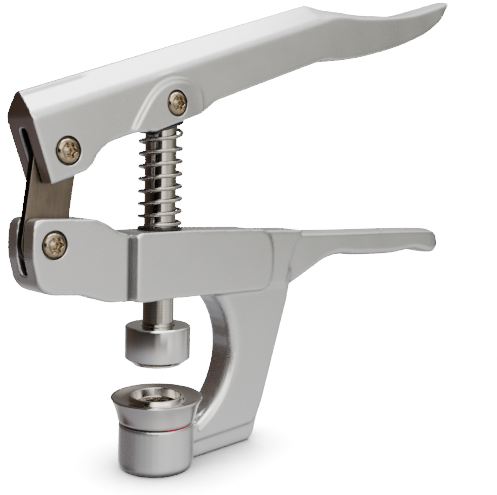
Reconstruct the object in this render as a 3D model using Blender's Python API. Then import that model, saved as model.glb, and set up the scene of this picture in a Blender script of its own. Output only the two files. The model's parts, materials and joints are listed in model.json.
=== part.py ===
"""Hand press that sets grommets: a C-frame with a grip, a lever above it, a link and a sprung plunger.

Sizes are in millimetres, and MM turns them into metres where a mesh is made. X runs from the link
towards the grips, Y is across the press and Z is up. The origin is on the ground, on the axis that the
plunger and both dies share.
"""

import math

import bmesh
import bpy
from mathutils import Matrix, Vector

MM = 0.001

# Sides of a turned shape
LARGE_ROUND = 40
MEDIUM_ROUND = 32
SMALL_ROUND = 20

# Gaps
GAP = 0.3  # between pieces that touch
SLIDE_GAP = 0.3  # around the plunger in its bush
LINK_GAP = 0.5  # beside the link in its slots
PIVOT_PLAY = 0.5  # around the plunger's pin, where the linkage is opened

# Press line, from the ground up
POST_RADIUS = 14.8
POST_HEIGHT = 18.2
POST_EDGE = 2.3
SEAM_RING_THICKNESS = 0.5
LOWER_DIE_RADIUS = 17.9
LOWER_DIE_HEIGHT = 8.9
LOWER_DIE_SHANK_RADIUS = 8.0
LOWER_DIE_SHANK_LENGTH = 9.0
SEAT_RING_RADIUS = 10.4
SEAT_RING_RISE = 0.3
SEAT_RECESS_RADIUS = 9.3
SEAT_RECESS_DEPTH = 3.7
SEAT_BORE_RADIUS = 6.2
SEAT_BORE_DEPTH = 8.0
OPEN_GAP = 12.6
UPPER_DIE_RADIUS = 12.8
UPPER_DIE_HEIGHT = 15.4
NOSE_RADIUS = 9.55
NOSE_HEIGHT = 1.2
NOSE_CHAMFER = 1.4
PILOT_RADIUS = 5.4
DIE_SOCKET_DEPTH = 9.0
DIE_TO_BOSS = 11.1
SET_SCREW_RADIUS = 1.7
PLUNGER_RADIUS = 6.0
PLUNGER_HEAD = 0.4  # how much taller than round its top is
SCREW_FLAT = 0.8  # depth of the flat that the set screw bears on
BUSH_WALL = 1.2

# Frame casting
BOSS_HEIGHT = 25.9
BOSS_LEFT = 17.2
BOSS_RIGHT = 56.5
BOSS_WALL = 1.5
BOSS_SEAT = 12.0  # the flat top runs this far past the plunger
BOSS_FALL = 1.4  # how far top and underside fall towards the grip
PAD_LIP = 0.7
BODY_HALF = 8.3
BODY_RIGHT = 68.0
THROAT_RADIUS = 31.4
THROAT_CENTRE_X = 2.8
ARM_FOOT_RIGHT = 49.5
ARM_TOP_RIGHT = 71.8
ARM_HALF = 5.5
WEB_HALF = 7.6
WEB_MARGIN = 4.4
FOOT_BAND = 8.1
GROOVE_WIDTH = 3.2
GROOVE_DEPTH = 1.0
GRIP_LEFT = 60.0
GRIP_RIGHT = 200.0
GRIP_HALF = 7.0
GRIP_EDGE = 3.0

# Linkage
CLEVIS_X = -51.4
CLEVIS_RISE = 23.4  # above the boss's underside
CLEVIS_TOP = 8.9  # above its pivot
CLEVIS_BOTTOM = 17.6  # below its pivot
CLEVIS_REACH = 8.6  # behind its pivot
LINK_LENGTH = 31.65
LINK_LEAN = math.radians(9.1)
LINK_WIDTH = 17.0
LINK_THICKNESS = 3.0
LINK_BUSH_WALL = 1.2

# Upper handle, in its own frame: u along it from the plunger's pin, v square to it
LINK_PIN_U = -50.0
LINK_PIN_V = -2.55
HANDLE_HALF = 8.5
HANDLE_REAR = -59.6
HANDLE_TIP = 208.0
RIDGE_V = 19.9
EDGE_V = 11.9
REAR_LUG_V = -11.4
UNDERSIDE_V = -4.9
CHEEK_V = -7.2
CHEEK_WALL = 2.9
POCKET_REAR_PLAY = 3.9  # around the plunger's head as the handle swings
POCKET_FRONT_PLAY = 3.3
POCKET_TOP_PLAY = 1.8
SLOT_END_PLAY = 4.5  # in front of the link's round end
SLOT_TOP_PLAY = 1.65
HANDLE_EDGE = 1.2
THUMB_START = 91.0

# Pivots
PIN_RADIUS = 3.0
PIN_SCREW_RADIUS = 1.6
HEAD_LIP = 1.3  # how far a head overhangs its pin
HEAD_PROUD = 0.5
HEAD_RECESS = 1.7
RECESS_PLAY = 0.7  # around a head
PIN_WASHER_THICKNESS = 0.4
DRIVE_RADIUS = 1.9
DRIVE_DEPTH = 0.8
PIN_BUSH_WALL = 0.8

# Spring
SPRING_PLAY = 1.1  # around the plunger
SPRING_WIRE = 0.75
SPRING_TURNS = 7.75
SPRING_FLAT_START = 0.35  # turns that lie flat on the seat washer
SPRING_TILT_TURNS = 0.7  # over which the last turn leans to the cap
SEAT_WASHER_THICKNESS = 0.8
CAP_THICKNESS = 0.8
CAP_LIP = 0.2  # past the spring
CAP_PLAY = 0.85  # around the plunger, for its tilt

# Worked out from the sizes above
BUSH_RADIUS = PLUNGER_RADIUS + SLIDE_GAP + BUSH_WALL
BOSS_HALF = BUSH_RADIUS + GAP + BOSS_WALL
CHEEK_HALF = PLUNGER_RADIUS + LINK_GAP + CHEEK_WALL
DIE_BOTTOM_Z = POST_HEIGHT + SEAM_RING_THICKNESS + 2 * GAP
RIM_Z = DIE_BOTTOM_Z + LOWER_DIE_HEIGHT
SEAT_RING_Z = RIM_Z + SEAT_RING_RISE
NOSE_Z = SEAT_RING_Z + OPEN_GAP
UPPER_DIE_TOP_Z = NOSE_Z + UPPER_DIE_HEIGHT
BOSS_BOTTOM_Z = UPPER_DIE_TOP_Z + DIE_TO_BOSS
BOSS_TOP_Z = BOSS_BOTTOM_Z + BOSS_HEIGHT
CLEVIS_Z = BOSS_BOTTOM_Z + CLEVIS_RISE
LINK_PIN_X = CLEVIS_X + LINK_LENGTH * math.sin(LINK_LEAN)
LINK_PIN_Z = CLEVIS_Z + LINK_LENGTH * math.cos(LINK_LEAN)
PIN_SPACING = math.hypot(LINK_PIN_U, LINK_PIN_V)
PLUNGER_PIN_Z = LINK_PIN_Z + math.sqrt(PIN_SPACING**2 - LINK_PIN_X**2)
HANDLE_TILT = math.atan2(PLUNGER_PIN_Z - LINK_PIN_Z, -LINK_PIN_X) - math.atan2(-LINK_PIN_V, -LINK_PIN_U)
CAP_V = CHEEK_V - GAP - CAP_THICKNESS / 2
CAP_Z = PLUNGER_PIN_Z + CAP_V / math.cos(HANDLE_TILT)
SEAT_WASHER_Z = BOSS_TOP_Z + GAP
HEAD_RADIUS = PIN_RADIUS + HEAD_LIP
PIN_SEAT_RADIUS = HEAD_RADIUS + RECESS_PLAY
SPRING_RADIUS = PLUNGER_RADIUS + SPRING_PLAY + SPRING_WIRE
CAP_RADIUS = SPRING_RADIUS + SPRING_WIRE + CAP_LIP
LINK_BUSH_RADIUS = PIN_RADIUS + GAP + LINK_BUSH_WALL
SLOT_HALF = LINK_THICKNESS / 2 + LINK_GAP
SOCKET_RADIUS = LOWER_DIE_SHANK_RADIUS + GAP
ARM_ROOT_X = (SOCKET_RADIUS + POST_RADIUS) / 2  # the arm starts inside the post's wall

CASTING = ("cast_aluminium", (0.50, 0.50, 0.50), 0.38, 0.7)
STEEL = ("turned_steel", (0.42, 0.41, 0.39), 0.28, 1.0)
POLISHED = ("polished_steel", (0.62, 0.60, 0.57), 0.16, 1.0)
PLATE = ("brushed_plate", (0.20, 0.17, 0.14), 0.42, 1.0)
BRASS = ("plated_screw", (0.46, 0.35, 0.20), 0.3, 1.0)
BRONZE = ("bronze", (0.42, 0.26, 0.11), 0.4, 1.0)
DARK = ("dark_steel", (0.05, 0.045, 0.04), 0.4, 1.0)
RUBBER = ("red_rubber", (0.55, 0.02, 0.05), 0.5, 0.0)


def clear_scene():
    for obj in list(bpy.data.objects):
        bpy.data.objects.remove(obj, do_unlink=True)


def material(spec):
    name, colour, roughness, metallic = spec
    found = bpy.data.materials.get(name)
    if found:
        return found
    made = bpy.data.materials.new(name)
    made.use_nodes = True
    made.diffuse_color = (*colour, 1.0)
    shader = made.node_tree.nodes["Principled BSDF"]
    shader.inputs["Base Color"].default_value = (*colour, 1.0)
    shader.inputs["Roughness"].default_value = roughness
    shader.inputs["Metallic"].default_value = metallic
    return made


def axis_empty(name, x, z):
    """The empty on a joint's axis, which the body's pieces are parented to."""
    empty = bpy.data.objects.new(name, None)
    empty.empty_display_size = 0.01
    empty.location = (x * MM, 0.0, z * MM)
    bpy.context.scene.collection.objects.link(empty)
    return empty


def finish_mesh(name, bm, spec, parent=None, smooth_angle=35.0):
    """An object from a bmesh in millimetres, with its origin on its parent's axis."""
    bmesh.ops.recalc_face_normals(bm, faces=bm.faces)
    bm.transform(Matrix.Scale(MM, 4))
    if parent:
        bm.transform(Matrix.Translation(-parent.location))
    mesh = bpy.data.meshes.new(name)
    bm.to_mesh(mesh)
    bm.free()
    mesh.shade_smooth()
    mesh.set_sharp_from_angle(angle=math.radians(smooth_angle))
    obj = bpy.data.objects.new(name, mesh)
    mesh.materials.append(material(spec))
    bpy.context.scene.collection.objects.link(obj)
    obj.parent = parent
    return obj


def helper(obj):
    """Marks a cutter or an added shape, which isn't a piece of its own."""
    obj.hide_render = True
    obj.display_type = "WIRE"
    return obj


def combine(obj, tools, operation):
    for tool in tools:
        modifier = obj.modifiers.new(tool.name, "BOOLEAN")
        modifier.operation = operation
        modifier.object = helper(tool)


def fillet_outline(corners, step=18.0):
    """A closed outline through corners (a, b, radius), with an arc at each corner that has a radius."""
    points = []
    count = len(corners)
    for i, (a, b, radius) in enumerate(corners):
        here = Vector((a, b))
        before = Vector(corners[i - 1][:2]) - here
        after = Vector(corners[(i + 1) % count][:2]) - here
        if radius <= 0:
            points.append(here)
            continue
        before.normalize()
        after.normalize()
        inner = math.acos(max(-1.0, min(1.0, before.dot(after))))
        reach = radius / math.tan(inner / 2)
        centre = here + (before + after).normalized() * radius / math.sin(inner / 2)
        first = here + before * reach - centre
        last = here + after * reach - centre
        turn = first.angle_signed(last)
        pieces = max(1, math.ceil(abs(math.degrees(turn)) / step))
        for k in range(pieces + 1):
            angle = -turn * k / pieces
            points.append(centre + Matrix.Rotation(angle, 2) @ first)
    return points


def prism_mesh(outline, half, edge=0.0, segments=2):
    """An outline in X and Z, extruded across Y to both sides, with its rims rounded by edge."""
    bm = bmesh.new()
    near = [bm.verts.new((p[0], -half, p[1])) for p in outline]
    far = [bm.verts.new((p[0], half, p[1])) for p in outline]
    bm.faces.new(near)
    bm.faces.new(list(reversed(far)))
    for i in range(len(outline)):
        j = (i + 1) % len(outline)
        bm.faces.new((near[j], near[i], far[i], far[j]))
    if edge > 0:
        rims = [e for e in bm.edges if abs(e.verts[0].co.y - e.verts[1].co.y) < 1e-6]
        bmesh.ops.bevel(bm, geom=rims, offset=edge, segments=segments, profile=0.5, affect="EDGES")
    return bm


def turned_mesh(profile, steps):
    """A closed profile of (radius, height) turned round Z. Points at radius 0 lie on the axis."""
    bm = bmesh.new()
    rings = []
    for radius, height in profile:
        if radius <= 0:
            rings.append([bm.verts.new((0.0, 0.0, height))])
            continue
        ring = []
        for k in range(steps):
            angle = 2 * math.pi * k / steps
            ring.append(bm.verts.new((radius * math.cos(angle), radius * math.sin(angle), height)))
        rings.append(ring)
    for i, ring in enumerate(rings):
        other = rings[(i + 1) % len(rings)]
        for k in range(steps):
            n = (k + 1) % steps
            corners = [ring[k % len(ring)], ring[n % len(ring)], other[n % len(other)], other[k % len(other)]]
            corners = list(dict.fromkeys(corners))
            if len(corners) > 2:
                bm.faces.new(corners)
    return bm


def tube_profile(inner, outer, low, high):
    return [(inner, low), (outer, low), (outer, high), (inner, high)]


def rod_profile(radius, low, high):
    return [(0, low), (radius, low), (radius, high), (0, high)]


def across(bm, x, z):
    """Lays a shape turned round Z across the press, its low end towards -Y, centred on (x, z)."""
    bm.transform(Matrix.Translation((x, 0, z)) @ Matrix.Rotation(math.radians(-90), 4, "X"))
    return bm


def curve_value(points, at):
    """A smooth line without overshoot through points (along, height), read at one place."""
    if at <= points[0][0]:
        return points[0][1]
    if at >= points[-1][0]:
        return points[-1][1]
    slopes = [(b[1] - a[1]) / (b[0] - a[0]) for a, b in zip(points, points[1:])]
    tangents = [slopes[0]]
    for left, right in zip(slopes, slopes[1:]):
        tangents.append(0.0 if left * right <= 0 else 2 * left * right / (left + right))
    tangents.append(slopes[-1])
    i = max(k for k in range(len(points) - 1) if points[k][0] <= at)
    (x0, y0), (x1, y1) = points[i], points[i + 1]
    width = x1 - x0
    t = (at - x0) / width
    start = (1 + 2 * t) * (1 - t) ** 2 * y0 + t * (1 - t) ** 2 * width * tangents[i]
    end = t * t * (3 - 2 * t) * y1 + t * t * (t - 1) * width * tangents[i + 1]
    return start + end


def bar_section(half, low, edge, ridge, radius):
    """A bar's section as (across, height): rounded below, flat sides, and two facets up to a ridge."""
    radius = min(radius, half * 0.8, (edge - low) * 0.45)
    right = []
    for k in range(4):
        angle = math.radians(-90 + 30 * k)
        right.append((half - radius + radius * math.cos(angle), low + radius + radius * math.sin(angle)))
    rise = ridge - edge
    right.append((half, edge - 0.12 * rise))
    right.append((half * 0.86, edge + 0.16 * rise))
    right.append((half * 0.52, edge + 0.56 * rise))
    right.append((half * 0.14, edge + 0.97 * rise))
    left = [(-across_, height) for across_, height in reversed(right)]
    return right + left


def loft_mesh(stations):
    """Joins sections of equal size, each (along X, section), into one closed body."""
    bm = bmesh.new()
    rings = [[bm.verts.new((x, y, z)) for y, z in section] for x, section in stations]
    for first, second in zip(rings, rings[1:]):
        for k in range(len(first)):
            n = (k + 1) % len(first)
            bm.faces.new((first[k], first[n], second[n], second[k]))
    bm.faces.new(rings[0])
    bm.faces.new(rings[-1])
    return bm


def spaced(start, end, step):
    count = max(2, math.ceil((end - start) / step))
    return [start + (end - start) * k / count for k in range(count + 1)]


def pin_seats(name, x, z, half, parent, hole_radius):
    """The cutters for one pivot in a casting: the pin's hole, and the recess at each side of it."""
    low = -half - 3.0
    floor = half - HEAD_RECESS
    profile = [
        (0, low),
        (PIN_SEAT_RADIUS, low),
        (PIN_SEAT_RADIUS, -floor),
        (hole_radius, -floor),
        (hole_radius, floor),
        (PIN_SEAT_RADIUS, floor),
        (PIN_SEAT_RADIUS, -low),
        (0, -low),
    ]
    return finish_mesh(name, across(turned_mesh(profile, SMALL_ROUND), x, z), CASTING, parent)


# Frame


def post_shape():
    """The post with the socket that holds the lower die's shank."""
    socket_floor = POST_HEIGHT - LOWER_DIE_SHANK_LENGTH - GAP
    profile = [(0, socket_floor), (0, 0)]
    for k in range(5):
        angle = math.radians(-90 + 22.5 * k)
        profile.append((POST_RADIUS - POST_EDGE * (1 - math.cos(angle)), POST_EDGE * (1 + math.sin(angle))))
    profile += [(POST_RADIUS, POST_HEIGHT - 0.4), (POST_RADIUS - 0.4, POST_HEIGHT)]
    profile += [(SOCKET_RADIUS, POST_HEIGHT), (SOCKET_RADIUS, socket_floor)]
    return finish_mesh("post_shape", turned_mesh(profile, LARGE_ROUND), CASTING)


def throat_x(z):
    """The throat's surface: how far out it lies at a height."""
    centre_z = (POST_HEIGHT + BOSS_BOTTOM_Z) / 2
    return THROAT_CENTRE_X + math.sqrt(max(0.0, THROAT_RADIUS**2 - (z - centre_z) ** 2))


def arm_outer_x(z):
    """The arm's outer edge: a straight taper from the foot to the body."""
    return ARM_FOOT_RIGHT + (ARM_TOP_RIGHT - ARM_FOOT_RIGHT) * z / BOSS_BOTTOM_Z


def arm_outline(low, margin_in, margin_out, floor, top):
    """The arm from height low up to top, inside the body, kept inside its edges by the margins."""
    outer = [(arm_outer_x(z) - margin_out, z) for z in spaced(low + 3.0, BOSS_BOTTOM_Z, 9.0)]
    outer.append((outer[-1][0] + 0.5, top))
    inner_low = max(floor, low)
    heights = [z for z in spaced(inner_low + 1.3, BOSS_BOTTOM_Z - 0.5, 4.0)]
    inner = [(throat_x(z) + margin_in, z) for z in reversed(heights)]
    inner.insert(0, (inner[0][0] - 1.5, top))
    return outer, inner


def arm_shape():
    outer, inner = arm_outline(0.0, 0.0, 0.0, POST_HEIGHT, BOSS_BOTTOM_Z + 5.0)
    corner = [(arm_outer_x(0) - 2.2, 0.0), (arm_outer_x(1.0) - 0.4, 1.0)]
    floor = POST_HEIGHT - 1.2
    points = [(ARM_ROOT_X, 0.0), *corner, *outer, *inner]
    points += [(throat_x(floor + 1.2) - 2.5, floor), (ARM_ROOT_X, floor)]
    return finish_mesh("arm_shape", prism_mesh(points, ARM_HALF, 1.0, 2), CASTING)


def web_shape():
    outer, inner = arm_outline(FOOT_BAND, WEB_MARGIN, 1.6, POST_HEIGHT + 4, BOSS_BOTTOM_Z + 7.0)
    floor = [(arm_outer_x(FOOT_BAND) - 4.5, FOOT_BAND - 0.3)]
    points = [(ARM_ROOT_X, FOOT_BAND - 1.0), *floor, *outer, *inner]
    points += [(throat_x(POST_HEIGHT + 2) + 0.5, POST_HEIGHT - 2.2), (ARM_ROOT_X, POST_HEIGHT - 3.2)]
    return finish_mesh("web_shape", prism_mesh(points, WEB_HALF, 1.8, 2), CASTING)


def body_shape():
    rear = CLEVIS_X - CLEVIS_REACH
    top = CLEVIS_Z + CLEVIS_TOP
    low = CLEVIS_Z - CLEVIS_BOTTOM
    step = -BOSS_LEFT - 4.0
    corners = [
        (rear + 0.8, top, 3.0),
        (rear, top - 12.0, 12.0),
        (rear + 3.2, low + 1.0, 7.0),
        (CLEVIS_X + 11.0, low - 0.6, 8.0),
        (step - 8.0, BOSS_BOTTOM_Z + 1.4, 8.0),
        (0.0, BOSS_BOTTOM_Z + PAD_LIP, 0.0),
        (BODY_RIGHT - 2.0, BOSS_BOTTOM_Z + PAD_LIP - BOSS_FALL, 0.0),
        (BODY_RIGHT + 1.0, BOSS_BOTTOM_Z + 13.5, 16.0),
        (BODY_RIGHT + 9.5, BOSS_TOP_Z - PAD_LIP - BOSS_FALL - 0.6, 0.0),
        (BOSS_SEAT, BOSS_TOP_Z - PAD_LIP, 0.0),
        (step - 1.0, BOSS_TOP_Z - PAD_LIP, 10.0),
        (step - 12.0, top - 0.7, 10.0),
    ]
    return finish_mesh("body_shape", prism_mesh(fillet_outline(corners), BODY_HALF, 1.2, 2), CASTING)


def pad_shape():
    corners = [
        (BOSS_SEAT, BOSS_TOP_Z, 0.0),
        (-BOSS_LEFT, BOSS_TOP_Z, 1.5),
        (-BOSS_LEFT, BOSS_BOTTOM_Z, 1.5),
        (0.0, BOSS_BOTTOM_Z, 0.0),
        (BOSS_RIGHT - 2.0, BOSS_BOTTOM_Z - BOSS_FALL, 6.0),
        (BOSS_RIGHT, BOSS_BOTTOM_Z + 12.0, 20.0),
        (BOSS_RIGHT - 3.0, BOSS_TOP_Z - BOSS_FALL, 7.0),
    ]
    return finish_mesh("pad_shape", prism_mesh(fillet_outline(corners), BOSS_HALF, 0.8, 2), CASTING)


def grip_shape():
    top = [
        (GRIP_LEFT, BOSS_TOP_Z - 2.7),
        (GRIP_LEFT + 40, BOSS_TOP_Z - 4.0),
        (GRIP_RIGHT - 11, BOSS_TOP_Z - 6.8),
        (GRIP_RIGHT - 4, BOSS_TOP_Z - 9.2),
        (GRIP_RIGHT, BOSS_TOP_Z - 14.0),
    ]
    bottom = [
        (GRIP_LEFT, BOSS_BOTTOM_Z - 4.0),
        (GRIP_LEFT + 10, BOSS_BOTTOM_Z - 1.8),
        (GRIP_LEFT + 24, BOSS_BOTTOM_Z + 3.6),
        (GRIP_LEFT + 38, BOSS_BOTTOM_Z + 8.8),
        (GRIP_LEFT + 46, BOSS_BOTTOM_Z + 9.7),
        (GRIP_LEFT + 60, BOSS_BOTTOM_Z + 8.5),
        (GRIP_LEFT + 92, BOSS_BOTTOM_Z + 7.4),
        (GRIP_RIGHT - 30, BOSS_BOTTOM_Z + 8.4),
        (GRIP_RIGHT - 10, BOSS_BOTTOM_Z + 5.4),
        (GRIP_RIGHT - 3, BOSS_BOTTOM_Z + 5.4),
        (GRIP_RIGHT, BOSS_BOTTOM_Z + 9.0),
    ]
    half = [(GRIP_LEFT, GRIP_HALF), (GRIP_RIGHT - 12, GRIP_HALF), (GRIP_RIGHT, GRIP_HALF - 3.5)]
    stations = []
    for x in spaced(GRIP_LEFT, GRIP_RIGHT, 4.5):
        high = curve_value(top, x)
        low = curve_value(bottom, x)
        stations.append((x, bar_section(curve_value(half, x), low, high - 1.8, high, GRIP_EDGE)))
    return finish_mesh("grip_shape", loft_mesh(stations), CASTING)


def slot_cutter():
    """The clevis's slot, open above and behind, with room for the link's round end."""
    floor = CLEVIS_Z - LINK_WIDTH / 2 - 2.0
    front = CLEVIS_X + LINK_WIDTH / 2 + 5.0
    corners = [
        (CLEVIS_X - CLEVIS_REACH - 5, floor, 0),
        (front, floor, 6.0),
        (front, CLEVIS_Z + CLEVIS_TOP + 5, 0),
        (CLEVIS_X - CLEVIS_REACH - 5, CLEVIS_Z + CLEVIS_TOP + 5, 0),
    ]
    return finish_mesh("clevis_slot", prism_mesh(fillet_outline(corners), SLOT_HALF), CASTING)


def groove_cutter(side):
    x = -BOSS_LEFT - 0.3 - GROOVE_WIDTH / 2
    bm = bmesh.new()
    bmesh.ops.create_cube(bm, size=1.0)
    bm.transform(Matrix.Diagonal((GROOVE_WIDTH, 2 * GROOVE_DEPTH, BOSS_HEIGHT + 8.0, 1.0)))
    bm.transform(Matrix.Translation((x, side * BODY_HALF, BOSS_BOTTOM_Z + BOSS_HEIGHT / 2)))
    name = "groove_near" if side < 0 else "groove_far"
    return finish_mesh(name, bm, CASTING)


def make_lower_frame():
    frame = body_shape()
    frame.name = "lower_frame"
    combine(frame, [pad_shape(), arm_shape(), web_shape(), grip_shape(), post_shape()], "UNION")
    bore = rod_profile(BUSH_RADIUS + GAP, BOSS_BOTTOM_Z - 8, BOSS_TOP_Z + 6)
    cutters = [
        finish_mesh("plunger_bore", turned_mesh(bore, MEDIUM_ROUND), CASTING),
        slot_cutter(),
        pin_seats("clevis_pin_seat", CLEVIS_X, CLEVIS_Z, BODY_HALF, None, PIN_RADIUS + GAP),
        groove_cutter(-1),
        groove_cutter(1),
    ]
    combine(frame, cutters, "DIFFERENCE")


def make_guide_bush():
    profile = tube_profile(PLUNGER_RADIUS + SLIDE_GAP, BUSH_RADIUS, BOSS_BOTTOM_Z + 1, BOSS_TOP_Z - 0.8)
    finish_mesh("plunger_guide_bush", turned_mesh(profile, MEDIUM_ROUND), BRONZE)


def make_lower_die():
    """The grommet seat: a flared body with a dished land, a raised ring and a stepped recess."""
    ring = SEAT_RING_RADIUS
    skirt = POST_RADIUS + 0.3
    profile = [(LOWER_DIE_SHANK_RADIUS, POST_HEIGHT - LOWER_DIE_SHANK_LENGTH)]
    profile += [(LOWER_DIE_SHANK_RADIUS, DIE_BOTTOM_Z), (skirt, DIE_BOTTOM_Z)]
    for k in range(1, 6):
        share = k / 5
        flare = skirt + (LOWER_DIE_RADIUS - skirt) * (0.75 * share + 0.25 * share**3)
        profile.append((flare, DIE_BOTTOM_Z + (LOWER_DIE_HEIGHT - 0.4) * share))
    profile += [(LOWER_DIE_RADIUS - 0.4, RIM_Z), (ring + 2.4, RIM_Z - 1.3), (ring + 1.2, RIM_Z - 1.5)]
    profile += [(ring + 0.4, RIM_Z - 1.1), (ring, SEAT_RING_Z - 0.2), (ring - 0.2, SEAT_RING_Z)]
    profile += [(SEAT_RECESS_RADIUS + 0.3, SEAT_RING_Z), (SEAT_RECESS_RADIUS, SEAT_RING_Z - 0.3)]
    profile += [(SEAT_RECESS_RADIUS, SEAT_RING_Z - SEAT_RECESS_DEPTH)]
    profile += [(SEAT_BORE_RADIUS, SEAT_RING_Z - SEAT_RECESS_DEPTH)]
    profile += [(SEAT_BORE_RADIUS, SEAT_RING_Z - SEAT_BORE_DEPTH), (0, SEAT_RING_Z - SEAT_BORE_DEPTH)]
    profile.insert(0, (0, POST_HEIGHT - LOWER_DIE_SHANK_LENGTH))
    finish_mesh("lower_die", turned_mesh(profile, LARGE_ROUND), STEEL)
    low = POST_HEIGHT + GAP
    seal = tube_profile(LOWER_DIE_SHANK_RADIUS + 2.0, POST_RADIUS + 0.1, low, low + SEAM_RING_THICKNESS)
    finish_mesh("lower_die_ring", turned_mesh(seal, LARGE_ROUND), RUBBER)


def make_seat_washer():
    high = SEAT_WASHER_Z + SEAT_WASHER_THICKNESS
    profile = tube_profile(PLUNGER_RADIUS + 0.5, SPRING_RADIUS + SPRING_WIRE, SEAT_WASHER_Z, high)
    finish_mesh("spring_seat_washer", turned_mesh(profile, MEDIUM_ROUND), DARK)


# Pivots


def make_pivot(name, x, z, half, parent):
    """A sleeve nut from +Y, and a washer and a screw from -Y, in the recesses of one pivot."""
    floor = half - HEAD_RECESS
    top = half + HEAD_PROUD
    sleeve = [
        (PIN_SCREW_RADIUS + GAP, -floor + GAP),
        (PIN_RADIUS, -floor + GAP),
        (PIN_RADIUS, floor + GAP),
        (HEAD_RADIUS, floor + GAP),
        (HEAD_RADIUS, top - 0.4),
        (HEAD_RADIUS - 0.6, top),
        (0, top),
        (0, floor - 1.0),
        (PIN_SCREW_RADIUS + GAP, floor - 1.0),
    ]
    finish_mesh(name + "_sleeve", across(turned_mesh(sleeve, SMALL_ROUND), x, z), BRASS, parent)
    washer_low = -floor - GAP - PIN_WASHER_THICKNESS
    washer = tube_profile(PIN_SCREW_RADIUS + GAP, HEAD_RADIUS + 0.4, washer_low, -floor - GAP)
    finish_mesh(name + "_washer", across(turned_mesh(washer, SMALL_ROUND), x, z), DARK, parent)
    seat = washer_low - GAP
    screw = [
        (0, -top + DRIVE_DEPTH),
        (DRIVE_RADIUS, -top + DRIVE_DEPTH),
        (DRIVE_RADIUS, -top),
        (HEAD_RADIUS - 0.8, -top + 0.05),
        (HEAD_RADIUS, -top + 0.5),
        (HEAD_RADIUS, seat),
        (PIN_SCREW_RADIUS, seat),
        (PIN_SCREW_RADIUS, floor - 2.5),
        (0, floor - 2.5),
    ]
    finish_mesh(name + "_screw", across(turned_mesh(screw, SMALL_ROUND), x, z), BRASS, parent)


# Link


def make_link(parent):
    direction = Vector((math.sin(LINK_LEAN), math.cos(LINK_LEAN)))
    side = Vector((math.cos(LINK_LEAN), -math.sin(LINK_LEAN))) * LINK_WIDTH / 2
    low = Vector((CLEVIS_X, CLEVIS_Z))
    high = Vector((LINK_PIN_X, LINK_PIN_Z))
    reach = direction * (LINK_WIDTH / 2)
    corners = [low - reach - side, low - reach + side, high + reach + side, high + reach - side]
    outline = fillet_outline([(p.x, p.y, LINK_WIDTH / 2 - 0.05) for p in corners], 20.0)
    plate = finish_mesh("link_plate", prism_mesh(outline, LINK_THICKNESS / 2), PLATE, parent)
    ends = (("link_lower_bush", low), ("link_upper_bush", high))
    cutters = []
    for name, at in ends:
        hole = rod_profile(LINK_BUSH_RADIUS + GAP, -LINK_THICKNESS, LINK_THICKNESS)
        cutters.append(finish_mesh(name + "_hole", across(turned_mesh(hole, SMALL_ROUND), at.x, at.y), PLATE, parent))
        half = LINK_THICKNESS / 2
        bush = tube_profile(PIN_RADIUS + GAP, LINK_BUSH_RADIUS, -half, half)
        finish_mesh(name, across(turned_mesh(bush, SMALL_ROUND), at.x, at.y), BRONZE, parent)
    combine(plate, cutters, "DIFFERENCE")


# Upper handle


def handle_frame():
    """From the handle's own u and v to the press's frame."""
    return Matrix.Translation((0, 0, PLUNGER_PIN_Z)) @ Matrix.Rotation(-HANDLE_TILT, 4, "Y")


def thumb(share):
    """A place along the thumb rest, from where the straight bar ends to the tip."""
    return THUMB_START + share * (HANDLE_TIP - THUMB_START)


def handle_sections():
    notch_v = REAR_LUG_V + 7.2
    underside = [
        (HANDLE_REAR, REAR_LUG_V),
        (LINK_PIN_U + 6.0, REAR_LUG_V),
        (LINK_PIN_U + 11.0, REAR_LUG_V + 4.4),
        (LINK_PIN_U + 17.0, notch_v),
        (-20.0, notch_v),
        (-13.5, CHEEK_V),
        (12.0, CHEEK_V),
        (22.0, UNDERSIDE_V),
        (THUMB_START - 3.0, UNDERSIDE_V),
        (thumb(0.08), -7.6),
        (thumb(0.28), -10.5),
        (thumb(0.52), -11.9),
        (thumb(0.68), -11.5),
        (thumb(0.85), -7.9),
        (thumb(0.94), -3.2),
        (HANDLE_TIP, -0.9),
    ]
    ridge = [
        (HANDLE_REAR, RIDGE_V),
        (THUMB_START, RIDGE_V),
        (thumb(0.08), 16.5),
        (thumb(0.20), 12.6),
        (thumb(0.32), 8.6),
        (thumb(0.43), 5.8),
        (thumb(0.56), 2.8),
        (thumb(0.77), 1.7),
        (thumb(0.96), 1.0),
        (HANDLE_TIP, 0.4),
    ]
    edge = [
        (HANDLE_REAR, EDGE_V),
        (thumb(0.08), EDGE_V),
        (thumb(0.16), 10.6),
        (thumb(0.25), 7.8),
        (thumb(0.39), 4.6),
        (thumb(0.53), 2.0),
        (thumb(0.69), 0.2),
        (thumb(0.87), -0.1),
        (HANDLE_TIP, -0.3),
    ]
    half = [(HANDLE_REAR, HANDLE_HALF), (thumb(0.85), HANDLE_HALF), (thumb(0.96), 6.6), (HANDLE_TIP, 3.5)]
    places = spaced(HANDLE_REAR, 26.0, 3.0) + spaced(26.0, THUMB_START - 3.0, 16.0)[1:]
    places += spaced(THUMB_START - 3.0, HANDLE_TIP, 4.2)[1:]
    sections = []
    for u in places:
        low = curve_value(underside, u)
        side = curve_value(edge, u)
        top = max(curve_value(ridge, u), side + 0.5)
        sections.append((u, bar_section(curve_value(half, u), low, side, top, HANDLE_EDGE)))
    return sections


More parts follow.
